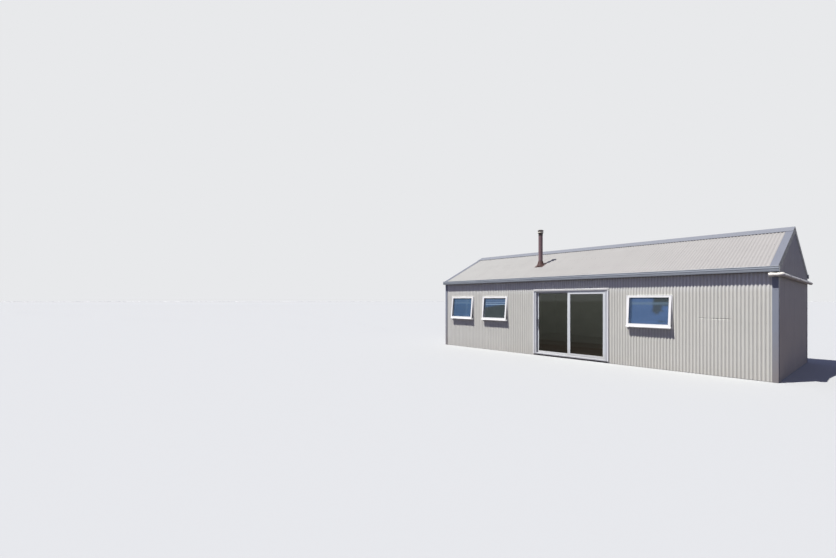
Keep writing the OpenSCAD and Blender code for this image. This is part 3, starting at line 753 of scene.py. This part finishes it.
def trim_screws():
    """Heads along the corner flashings, the barge caps and both edges of the ridge cap."""
    build = Build()
    for side in (-1, 1):
        for z in CORNER_SCREWS:
            for place, half in ((ON_FRONT, HALF_L), (ON_REAR, HALF_L), (ON_LEFT, HALF_D),
                                (ON_RIGHT, HALF_D)):
                at = facing(place, side * (half - CORNER_IN), CORNER_OUT, z)
                screw_head(build, at, TRIM_SCREW)
        face = Matrix.Rotation(side * math.pi / 2, 4, "Y")
        for step in range(1, BARGE_STEPS + 1):
            for back in (-1, 1):
                y = back * FACE_STEP * step
                z = APEX_H - BARGE_DOWN - abs(y) * RISE
                at = Matrix.Translation((side * (HALF_L + BARGE_FACE), y, z)) @ face
                screw_head(build, at, TRIM_SCREW)
    for place in (ON_SLOPE, ON_BACK_SLOPE):
        for side in (-1, 1):
            for step in range(1, BARGE_STEPS + 1):
                x, down = side * (HALF_L - BARGE_IN), TOP_START + TOP_STEP * step
                screw_head(build, facing(place, x, BARGE_TOP, down))
        for k in range(-RIBS_L + 2, RIBS_L - 1, 4):
            screw_head(build, facing(place, k * RIB, RIDGE_TOP, RIDGE_DOWN))
    piece("trim_screws", build.mesh("trim_screws"), MAT["trim_screw"])


def roof_screws():
    """Heads on every other crest."""
    build = Build()
    for place in (ON_SLOPE, ON_BACK_SLOPE):
        for down in ROOF_SCREWS:
            for k in range(-RIBS_L + 3, RIBS_L - 1, 2):
                screw_head(build, facing(place, k * RIB, 0.0, down))
    piece("roof_screws", build.mesh("roof_screws"), MAT["roof_screw"])


wall_screws()
trim_screws()
roof_screws()


# Flashings, gutters and trim

# The gutter's bead, floor, back edge, end and faces, and the radii of its bends and bead
LIP_H = 2.6568
GUTTER_FLOOR = 2.5248
GUTTER_BACK_H = 2.6208
GUTTER_END = HALF_L + 0.025
GUTTER_FRONT = -2.482
GUTTER_BACK = -2.362
GUTTER_METAL = 0.0014
BACK_BEND, FRONT_BEND, BEAD = 0.004, 0.009, 0.010
# The groove along its face: how far in from the face and up from the floor
GROOVE = ((0, 0.048), (0.006, 0.053), (0.006, 0.063), (0, 0.068), (0, 0.094), (0.004, 0.099))
# The sleeves over its joints, its stop ends and the straps across it
JOINTS_X, JOINT_HALF, JOINT_METAL = (-3.35, 0.75, 3.9), 0.03, 0.0008
STOP_T, STOP_LAP = 0.0015, 0.016
STRAP_STEP, STRAP_HALF, STRAP_METAL = 1.2, 0.011, 0.0015
# The ridge cap's half width down the slope, its top over the crests, and the laps on it
RIDGE_HALF, RIDGE_OUT = 0.33, 0.0126
RIDGE_LAPS_X, RIDGE_LAP, RIDGE_METAL = (-3.2, -1.0, 1.2, 3.4), 0.16, 0.0009
# The dark strips under its edges, painted shade in the open troughs: down the slope, and out from
# the crests
CAP_SHADE_FROM, CAP_SHADE_TO, CAP_SHADE_UNDER, CAP_SHADE_TOP = 0.309, 0.327, 0.0005, 0.0035


def arc(x, y, radius, start, end, steps):
    points = []
    for i in range(steps + 1):
        a = math.radians(start + (end - start) * i / steps)
        points.append((x + radius * math.cos(a), y + radius * math.sin(a)))
    return points


def offset(points, distance):
    """An open line of points moved sideways, to its right."""
    moved = []
    for i, p in enumerate(points):
        a, b = points[max(i - 1, 0)], points[min(i + 1, len(points) - 1)]
        along = Vector((b[0] - a[0], b[1] - a[1])).normalized()
        moved.append((p[0] + along.y * distance, p[1] - along.x * distance))
    return moved


def folded(line, metal):
    """The outline of a strip of metal that follows an open line."""
    return line + offset(line, metal)[::-1]


def gutter_line():
    """The gutter's outer face from its back edge round to its rolled bead, as (y, z) points."""
    face = GUTTER_FRONT + 0.001
    line = [(GUTTER_BACK, GUTTER_BACK_H), (GUTTER_BACK, GUTTER_FLOOR + BACK_BEND)]
    line += arc(GUTTER_BACK - BACK_BEND, GUTTER_FLOOR + BACK_BEND, BACK_BEND, 0, -90, 3)[1:]
    line += arc(face + FRONT_BEND, GUTTER_FLOOR + FRONT_BEND, FRONT_BEND, 270, 180, 6)
    line += [(face + inward, GUTTER_FLOOR + up) for inward, up in GROOVE]
    line.append((face + 0.004, LIP_H - 0.019))
    line += arc(face + BEAD, LIP_H - BEAD, BEAD, 200, -60, 14)
    return line


def gutter(node, place):
    """The gutter with its stop ends, and the sleeves, rims and straps on it."""
    line = gutter_line()
    body, bands = Build(), Build()
    body.prism(folded(line, GUTTER_METAL), -GUTTER_END + 0.001, GUTTER_END - 0.001, place)
    sleeve = folded(offset(line, -JOINT_METAL)[4:-8], JOINT_METAL)
    for x in JOINTS_X:
        bands.prism(sleeve, x - JOINT_HALF, x + JOINT_HALF, place)
    stop = [(GUTTER_BACK, GUTTER_BACK_H)] + line[1:-9] + [(GUTTER_FRONT + 0.012, LIP_H - 0.002)]
    rim = folded(offset(line[:-9], -JOINT_METAL), JOINT_METAL)
    for side in (-1, 1):
        body.prism(stop, *sorted((side * GUTTER_END, side * (GUTTER_END - STOP_T))), place)
        ends = sorted((side * (GUTTER_END - 0.0002), side * (GUTTER_END - STOP_LAP)))
        bands.prism(rim, *ends, place)
    strap = folded([(GUTTER_BACK, LIP_H - 0.036), (GUTTER_BACK - 0.002, LIP_H - 0.012),
                    (GUTTER_BACK - 0.01, LIP_H - 0.006), (GUTTER_FRONT + 0.02, LIP_H - 0.006)],
                   STRAP_METAL)
    for i in range(-4, 5):
        x = i * STRAP_STEP
        bands.prism(strap, x - STRAP_HALF, x + STRAP_HALF, place)
    obj = piece(node + "_piece", body.mesh(node), MAT["gutter"], smooth=40)
    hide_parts(node)
    joints = node + "_joints"
    piece(joints, bands.mesh(joints), MAT["gutter"], smooth=40)


def ridge_joints():
    """Where one length of ridge cap laps over the next."""
    build = Build()
    reach = RIDGE_HALF / SLOPE
    top = APEX_H + RIDGE_OUT * SLOPE + 0.0001
    edge = top - reach * RISE
    band = [(-reach, edge), (0, top), (reach, edge),
            (reach, edge + RIDGE_METAL), (0, top + RIDGE_METAL), (-reach, edge + RIDGE_METAL)]
    for x in RIDGE_LAPS_X:
        build.prism(band, x, x + RIDGE_LAP, ACROSS)
    piece("ridge_joints", build.mesh("ridge_joints"), MAT["ridge"])


def ridge_trough_shades():
    """Dark strips cut to the ribs, under the cap's edges: painted shade in the troughs' openings.
    """
    build = Build()
    stops = wave_stops(-SHEETS_L + 0.001, SHEETS_L - 0.001)
    outline = [(x, -trough(x) + CAP_SHADE_UNDER) for x in stops]
    outline += [(x, CAP_SHADE_TOP) for x in reversed(stops)]
    n = len(outline)
    verts = [(x, y, z) for z in (CAP_SHADE_FROM, CAP_SHADE_TO) for x, y in outline]
    faces = [(i, (i + 1) % n, n + (i + 1) % n, n + i) for i in range(n)]
    for i in range(n // 2 - 1):
        j = n - 1 - i
        faces += [(i + 1, i, j, j - 1), (n + i, n + i + 1, n + j - 1, n + j)]
    # Painted shade: dark strips in the troughs under both edges of the cap
    for place in (ON_SLOPE, ON_BACK_SLOPE):
        build.add(verts, faces, place)
    piece("ridge_trough_shades", build.mesh("ridge_trough_shades"), MAT["rubber"], smooth=40)


for node, paint, slot in (("ridge_cap", "ridge", "trim_steel"),
                          ("left_barge_cap", "barge", "trim_steel"),
                          ("right_barge_cap", "barge", "trim_steel"),
                          ("corner_flashings", "corner", "trim_steel"),
                          ("door_head_flashing", "flashing", "door_trim")):
    softened(node, paint, 0.0006, 1)
gutter("front_gutter", ACROSS)
gutter("rear_gutter", MIRROR_Y @ ACROSS)
ridge_joints()
ridge_trough_shades()


# Windows

# A sash's size and its hinge line, and from that line the pane's edges and the seals' depths
SASH_W, SASH_H, SASH_T = 1.134, 0.869, 0.034
HINGE_Y, HINGE_Z = -2.3383, 1.992
PANE_X, PANE_LOW, PANE_HIGH = SASH_W / 2 - 0.06, -SASH_H + 0.09, -0.044
SASH_SEALS = ((-0.0245, -0.020), (-0.014, -0.0095))
SEAL_W = 0.006
# The drip bar's section: how far out from the sash's face and up from its foot
DRIP = ((0, 0.026), (0.010, 0.016), (0.010, 0), (0.006, 0), (0.006, 0.008), (0, 0.008))
DRIP_X = 0.575
# The stays' places, their feet on the frame and heads on the sash, and their pins
STAY_X, STAY_FOOT, STAY_HEAD, STAY_IN = 0.556, 1.19, -0.76, 0.002
STAY_W, STAY_T, PIN_R, PIN_HALF = 0.014, 0.003, 0.005, 0.004
# The fly screen's frame and mesh
SCREEN_X, SCREEN_LOW, SCREEN_HIGH, SCREEN_W = 0.538, 1.152, 1.963, 0.018
MESH_X, MESH_LOW, MESH_HIGH = 0.521, 1.169, 1.946
SCREEN_Y, MESH_Y = (-2.290, -2.278), (-2.2845, -2.2839)


def ring(build, x0, x1, z0, z1, width, y0, y1, place=None):
    """A flat frame in the x-z plane: a closed loop with mitred corners."""
    outer = [(x0, z0), (x1, z0), (x1, z1), (x0, z1)]
    inner = [(x0 + width, z0 + width), (x1 - width, z0 + width), (x1 - width, z1 - width),
             (x0 + width, z1 - width)]
    verts = [(x, y, z) for y in (y0, y1) for loop in (outer, inner) for x, z in loop]
    faces = []
    for i in range(4):
        j = (i + 1) % 4
        faces += [(i, j, 4 + j, 4 + i), (8 + j, 8 + i, 12 + i, 12 + j), (j, i, 8 + i, 8 + j),
                  (4 + i, 4 + j, 12 + j, 12 + i)]
    build.add(verts, faces, place)


def bar(build, a, b, width, thick):
    """A flat bar from a to b, its thickness along x."""
    a, b = Vector(a), Vector(b)
    place = Matrix.Translation(a) @ (b - a).to_track_quat("Z", "Y").to_matrix().to_4x4()
    build.box(-thick / 2, thick / 2, -width / 2, width / 2, 0, (b - a).length, place)


def window_details(key):
    """A window's glazing seals, drip bar, stays and fly screen."""
    x = WINDOWS[key]
    hinge = Matrix.Translation((x, HINGE_Y, HINGE_Z)) @ Matrix.Rotation(-SASH_OPEN, 4, "X")
    seal, white, steel, screen = Build(), Build(), Build(), Build()
    for y0, y1 in SASH_SEALS:
        ring(seal, -PANE_X, PANE_X, PANE_LOW, PANE_HIGH, SEAL_W, y0, y1, hinge)
    drip = [(-SASH_T - out, -SASH_H + up) for out, up in DRIP]
    white.prism(drip, -DRIP_X, DRIP_X, hinge @ ACROSS)
    for side in (-1, 1):
        head = hinge @ Vector((side * STAY_X, STAY_IN, STAY_HEAD))
        bar(steel, (x + side * STAY_X, HINGE_Y + STAY_IN, STAY_FOOT), head, STAY_W, STAY_T)
        for at in ((x + side * STAY_X, HINGE_Y, STAY_FOOT), head):
            place = Matrix.Translation(at) @ Matrix.Rotation(math.pi / 2, 4, "Y")
            steel.lathe([(0, -PIN_HALF), (PIN_R, -PIN_HALF), (PIN_R, PIN_HALF), (0, PIN_HALF)],
                        place, 12)
    ring(white, x - SCREEN_X, x + SCREEN_X, SCREEN_LOW, SCREEN_HIGH, SCREEN_W, *SCREEN_Y)
    screen.box(x - MESH_X, x + MESH_X, *MESH_Y, MESH_LOW, MESH_HIGH)
    piece("window_seals_" + key, seal.mesh("seals"), MAT["rubber"])
    piece("window_trim_" + key, white.mesh("trim", 0.0008), MAT["white"])
    piece("window_stays_" + key, steel.mesh("stays"), MAT["steel"])
    piece("fly_screen_" + key, screen.mesh("screen"), MAT["screen"])


for key in WINDOWS:
    softened("window_frame_" + key, "white", 0.002, 2)
    softened("window_sash_" + key, "white", 0.003, 3)
    repaint("window_glass_" + key, "glass_" + key)
    window_details(key)


# Sliding door

# Each pane's edges as x and z, and the depths of the seals before and behind it
FIXED_PANE = (0.3035, 1.355, 0.180, 2.070)
FIXED_SEALS = ((-2.3495, -2.344), (-2.338, -2.3325))
SLIDING_PANE = (-0.869, 0.1825, 0.160, 2.108)
SLIDING_SEALS = ((-2.3015, -2.296), (-2.290, -2.2845))
# The channel beside a jamb: how far out from the opening's edge, and y
CHANNEL = ((0.0003, -2.366), (0.0003, -2.379), (0.0013, -2.380), (0.029, -2.380),
           (0.030, -2.379), (0.030, -2.3605))
CHANNEL_METAL = 0.0016
SILL_FACE = -2.370
SLOTS_X, SLOT_Z, SLOT_HALF, SLOT_R, SLOT_T = (-0.7, -0.1, 0.5, 1.1), 0.062, 0.014, 0.003, 0.0006
# The lock's plate and cylinder on the sliding panel's stile
LOCK_X, LOCK_LOW, LOCK_MID, LOCK_HIGH, LOCK_FACE = -0.893, 0.865, 0.905, 0.935, -2.310
PLATE_HALF, PLATE_R, PLATE_T = 0.009, 0.004, 0.0025
CYLINDER = ((0, 0), (0.008, 0), (0.008, 0.0050), (0.007, 0.0058), (0, 0.0058))


def door_trims():
    """Folded channels over the ends of the sheets, one beside each jamb."""
    build = Build()
    for edge, out in ((DOOR_X0, -1), (DOOR_X1, 1)):
        line = [(edge + out * away, y) for away, y in CHANNEL]
        build.prism(folded(line, out * CHANNEL_METAL), SLAB_H + 0.004, DOOR_HEAD + 0.001)
    piece("door_side_trims", build.mesh("door_trims"), MAT["trim"])


def door_details():
    """The panes' seals, the sill's weep slots and the lock."""
    fixed, moving, slots, lock = Build(), Build(), Build(), Build()
    for build, pane, seals in ((fixed, FIXED_PANE, FIXED_SEALS),
                               (moving, SLIDING_PANE, SLIDING_SEALS)):
        for y0, y1 in seals:
            ring(build, *pane, SEAL_W, y0, y1)
    for x in SLOTS_X:
        outline = arc(x + SLOT_HALF, SLOT_Z, SLOT_R, -90, 90, 6)
        outline += arc(x - SLOT_HALF, SLOT_Z, SLOT_R, 90, 270, 6)
        slots.prism(outline, 0.0, SLOT_T, Matrix.Translation((0, SILL_FACE, 0)) @ TO_FRONT)
    plate = []
    for side, z, start in ((1, LOCK_HIGH, 0), (-1, LOCK_HIGH, 90), (-1, LOCK_LOW, 180),
                           (1, LOCK_LOW, 270)):
        plate += arc(LOCK_X + side * PLATE_HALF, z, PLATE_R, start, start + 90, 3)
    lock.prism(plate, 0.0, PLATE_T, Matrix.Translation((0, LOCK_FACE, 0)) @ TO_FRONT)
    lock.lathe(CYLINDER, Matrix.Translation((LOCK_X, LOCK_FACE, LOCK_MID)) @ TO_FRONT, 20)
    piece("fixed_panel_seals", fixed.mesh("fixed_seals"), MAT["rubber"])
    piece("sliding_panel_seals", moving.mesh("sliding_seals"), MAT["rubber"], DOOR)
    piece("sill_weep_slots", slots.mesh("weep_slots"), MAT["rubber"])
    piece("door_lock", lock.mesh("door_lock"), MAT["steel"], DOOR)


for node, paint in (("door_frame", "door_frame"), ("fixed_panel", "door"),
                    ("sliding_panel", "door")):
    softened(node, paint, 0.0015, 2)
door_trims()
door_details()
softened("door_pull", "pull", 0.003, 3)
for node in ("fixed_glass", "sliding_glass"):
    repaint(node, "door_glass")


# Flue and rainwater pipe

# The boot's pleats: heights over the roof at the flue's middle, radii, and one pleat's section
PLEATS = ((0.080, 0.1032), (0.105, 0.0952), (0.130, 0.0873))
PLEAT = ((-0.006, -0.009), (0.0015, -0.007), (0.005, 0), (0.0005, 0.007), (-0.006, 0.009))
# The clamp and the pipe's joint: how far out from the pipe, and heights over the roof
CLAMP = ((0, 0.150), (0.006, 0.150), (0.006, 0.166), (0, 0.166))
FLUE_JOINT = ((0, 0.49), (0.0025, 0.492), (0.0025, 0.508), (0, 0.51))
# The cowl's band, as radii and heights over the flue's top
COWL_BAND = ((0.0975, 0.062), (0.0994, 0.062), (0.0998, 0.064), (0.0998, 0.098),
             (0.0994, 0.100), (0.0975, 0.100))
# Where the clamp's lug and the pipe's seam stand round the flue, in radians
LUG_TURN, SEAM_TURN = 2.2, 3.6


def flue_details():
    """The boot's pleats and clamp, the cowl's band, and the pipe's joint and long seam."""
    roof_h = APEX_H + FLUE_Y * RISE
    at = Matrix.Translation((FLUE_X, FLUE_Y, roof_h))
    boot, metal, band, pipe = Build(), Build(), Build(), Build()
    for z, r in PLEATS:
        boot.lathe([(r + out, z + up) for out, up in PLEAT], at)
    metal.lathe([(FLUE_R + out, z) for out, z in CLAMP], at)
    metal.box(FLUE_R + 0.004, FLUE_R + 0.018, -0.007, 0.007, 0.151, 0.165,
              at @ Matrix.Rotation(LUG_TURN, 4, "Z"))
    band.lathe(COWL_BAND, Matrix.Translation((FLUE_X, FLUE_Y, FLUE_TOP)))
    pipe.lathe([(FLUE_R + out, z) for out, z in FLUE_JOINT], at)
    pipe.box(FLUE_R - 0.001, FLUE_R + 0.0022, -0.006, 0.006, 0.17, FLUE_TOP - roof_h - 0.045,
             at @ Matrix.Rotation(SEAM_TURN, 4, "Z"))
    piece("boot_pleats", boot.mesh("boot_pleats"), MAT["boot"], smooth=50)
    piece("boot_clamp", metal.mesh("boot_clamp"), MAT["cowl"], smooth=40)
    piece("cowl_band", band.mesh("cowl_band"), MAT["cowl_band"], smooth=40)
    piece("flue_seam", pipe.mesh("flue_seam", 0.0006), MAT["flue"], smooth=40)


flue_details()
softened("rainwater_pipe", "pipe", 0.0008, 1, angle=60)
softened("pipe_clips", "pipe", 0.0008, 1)
softened("flue_pipe", "flue", 0.0008, 1, angle=60)
softened("flue_cowl", "cowl", 0.0006, 1, angle=60)
softened("flue_flashing", "boot", 0.001, 1, angle=40)

repaint("floor_slab", "slab")
for node in ("front_wall_left", "front_wall_over_door", "front_wall_right", "rear_wall",
             "left_gable_wall", "right_gable_wall", "roof_panel_front", "roof_panel_rear"):
    repaint(node, "lining")


# Stage, light and camera

FLOOR_REACH = 600.0
BACKDROP = srgb(232, 233, 235)
# The fill light from low and high in the sky, which darkens towards one side
DARK_SIDE = (1.0, -0.5, 0.0)
LOW_BRIGHT, LOW_DARK = rgba(0.455, 0.51, 0.87), rgba(0.062, 0.074, 0.188)
HIGH_BRIGHT, HIGH_DARK = rgba(0.172, 0.192, 0.31), rgba(0.110, 0.124, 0.224)
# The way the sunlight travels
SUN_WAY = (0.56, 1.0, -2.34)
# The photo's size, horizon row and focal length, in pixels
PHOTO_W, PHOTO_H, HORIZON, FOCAL = 836, 558, 299.98, 410.07
SENSOR = 36.0


def linked(name, data):
    """An object of the stage, put in the scene."""
    obj = bpy.data.objects.new(name, data)
    bpy.context.scene.collection.objects.link(obj)
    return obj


def stage_floor():
    r = FLOOR_REACH
    mesh = new_mesh("floor", [(-r, -r, 0), (r, -r, 0), (r, r, 0), (-r, r, 0)], [(0, 1, 2, 3)])
    floor = linked("stage_floor", mesh)
    s = Shader("stage_floor", Roughness=1.0, Specular_IOR_Level=0.0)
    seen = s.node("ShaderNodeLightPath").outputs["Is Camera Ray"]
    s.set("Base Color", s.mix(seen, srgb(72, 67, 64), srgb(178, 179, 178)))
    mesh.materials.append(s.mat)


def sky():
    """A plain backdrop for what is seen, mirrored or behind glass, and fill light for the rest."""
    world = bpy.data.worlds.new("studio")
    bpy.context.scene.world = world
    world.use_nodes = True
    t = Tree(world.node_tree)
    path = t.node("ShaderNodeLightPath").outputs
    seen = t.math("MAXIMUM", path["Is Camera Ray"], path["Is Glossy Ray"])
    seen = t.math("MAXIMUM", seen, path["Is Transmission Ray"])
    way = t.node("ShaderNodeTexCoord").outputs["Generated"]
    side = t.ramp(t.vectors("DOT_PRODUCT", way, DARK_SIDE, "Value"), -1.1, 1.1)
    height = t.ramp(t.split(way, "Z"), 0.0, 0.9)
    low = t.mix(side, LOW_BRIGHT, LOW_DARK)
    high = t.mix(side, HIGH_BRIGHT, HIGH_DARK)
    back = t.tree.nodes["Background"]
    t.feed(back.inputs["Color"], t.mix(seen, t.mix(height, low, high), BACKDROP))
    t.feed(back.inputs["Strength"], 1.0)


def key_light():
    lamp = bpy.data.lights.new("key", "SUN")
    lamp.energy = 5.7
    lamp.angle = math.radians(0.4)
    lamp.color = (1.0, 0.985, 0.96)
    obj = linked("key", lamp)
    obj.rotation_euler = Vector(SUN_WAY).to_track_quat("-Z", "Y").to_euler()


def room_light():
    """Soft light under the ceiling, so that the room shows through the door's glass."""
    lamp = bpy.data.lights.new("room", "AREA")
    lamp.shape = "RECTANGLE"
    lamp.size = 9.0
    lamp.size_y = 3.0
    lamp.energy = 38.0
    obj = linked("room", lamp)
    obj.location = (0.0, 0.2, 2.7)
    obj.visible_camera = False
    obj.visible_glossy = False


def camera():
    data = bpy.data.cameras.new("camera")
    data.sensor_width = SENSOR
    data.lens = FOCAL / PHOTO_W * SENSOR
    data.shift_y = (HORIZON - PHOTO_H / 2) / PHOTO_W
    data.clip_end = 500
    obj = linked("camera", data)
    obj.location = (7.062, -14.595, 1.8835)
    obj.rotation_euler = (math.radians(90), 0, 0.8599)
    bpy.context.scene.camera = obj


stage_floor()
sky()
key_light()
room_light()
camera()
bpy.context.scene.view_settings.view_transform = "Standard"
